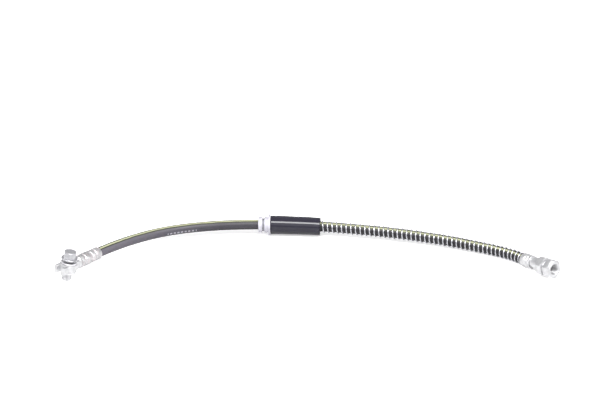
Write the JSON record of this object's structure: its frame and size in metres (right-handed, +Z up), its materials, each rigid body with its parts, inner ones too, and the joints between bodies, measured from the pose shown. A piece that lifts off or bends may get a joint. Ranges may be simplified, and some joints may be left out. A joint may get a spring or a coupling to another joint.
{
  "type": "brake hose",
  "caption": "Flexible hydraulic brake hose with a forked banjo fitting and hollow bolt, a bracket ferrule with sleeve, a wire spring guard and a hexagonal female end fitting.",
  "frame": {"origin": "on the surface the hose lies on, under the middle of its box", "axes": "+X along the chord of the hose's bow from the banjo end to the female end, +Y to the outside of the bow, +Z up"},
  "size_m": [0.5154, 0.1318, 0.0331],
  "materials": {
    "hose_rubber": "matte",
    "sleeve_rubber": "gloss",
    "zinc_plate": "bright",
    "bolt_steel": "bright",
    "washer_alloy": "satin",
    "spring_wire": "bright"
  },
  "bodies": {
    "root": {"hose": "hose_rubber", "banjo_fitting": "zinc_plate", "banjo_ferrule": "zinc_plate", "banjo_bolt": "bolt_steel", "upper_washer": "washer_alloy", "lower_washer": "washer_alloy", "bracket_ferrule": "zinc_plate", "sleeve": "sleeve_rubber", "spring_guard": "spring_wire", "end_ferrule": "zinc_plate", "end_fitting": "zinc_plate"}
  },
  "joints": []
}
